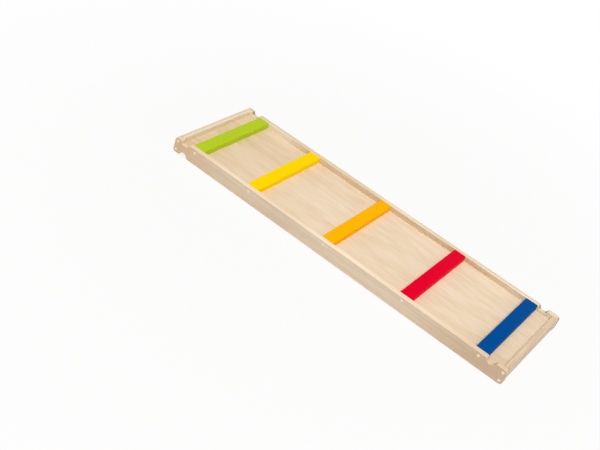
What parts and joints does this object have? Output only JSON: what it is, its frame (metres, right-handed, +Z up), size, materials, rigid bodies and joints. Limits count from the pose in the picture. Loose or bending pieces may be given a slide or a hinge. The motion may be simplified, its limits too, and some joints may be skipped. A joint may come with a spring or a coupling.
{
  "type": "toddler slide",
  "caption": "Slatted wooden ramp board for toddlers: plywood deck between side rails, painted cross slats, end boards and half-round hooks that sit on a climbing frame's rung.",
  "frame": {"origin": "middle of the rectangle that the rails stand on", "axes": "+X along the board to its lower end, +Y across to the far rail, +Z up out of the deck"},
  "size_m": [1.3236, 0.402, 0.056],
  "materials": {
    "rail_wood": "clear satin lacquer on solid birch, grain along the rail",
    "deck_plywood": "clear satin lacquer on birch plywood, grain along the board",
    "end_board_wood": "clear satin lacquer on solid birch, grain across the board",
    "green_paint": "satin green paint on wood",
    "yellow_paint": "satin yellow paint on wood",
    "orange_paint": "satin orange paint on wood",
    "red_paint": "satin red paint on wood",
    "blue_paint": "satin blue paint on wood",
    "screw_zinc": "bright zinc on steel"
  },
  "bodies": {
    "root": {"near_rail": "rail_wood", "far_rail": "rail_wood", "deck_panel": "deck_plywood", "upper_end_board": "end_board_wood", "lower_end_board": "end_board_wood", "green_slat": "green_paint", "yellow_slat": "yellow_paint", "orange_slat": "orange_paint", "red_slat": "red_paint", "blue_slat": "blue_paint", "near_green_slat_screw": "screw_zinc", "near_yellow_slat_screw": "screw_zinc", "near_orange_slat_screw": "screw_zinc", "near_red_slat_screw": "screw_zinc", "near_blue_slat_screw": "screw_zinc", "near_upper_end_top_screw": "screw_zinc", "near_upper_end_bottom_screw": "screw_zinc", "near_lower_end_top_screw": "screw_zinc", "near_lower_end_bottom_screw": "screw_zinc", "far_green_slat_screw": "screw_zinc", "far_yellow_slat_screw": "screw_zinc", "far_orange_slat_screw": "screw_zinc", "far_red_slat_screw": "screw_zinc", "far_blue_slat_screw": "screw_zinc", "far_upper_end_top_screw": "screw_zinc", "far_upper_end_bottom_screw": "screw_zinc", "far_lower_end_top_screw": "screw_zinc", "far_lower_end_bottom_screw": "screw_zinc"}
  },
  "joints": []
}
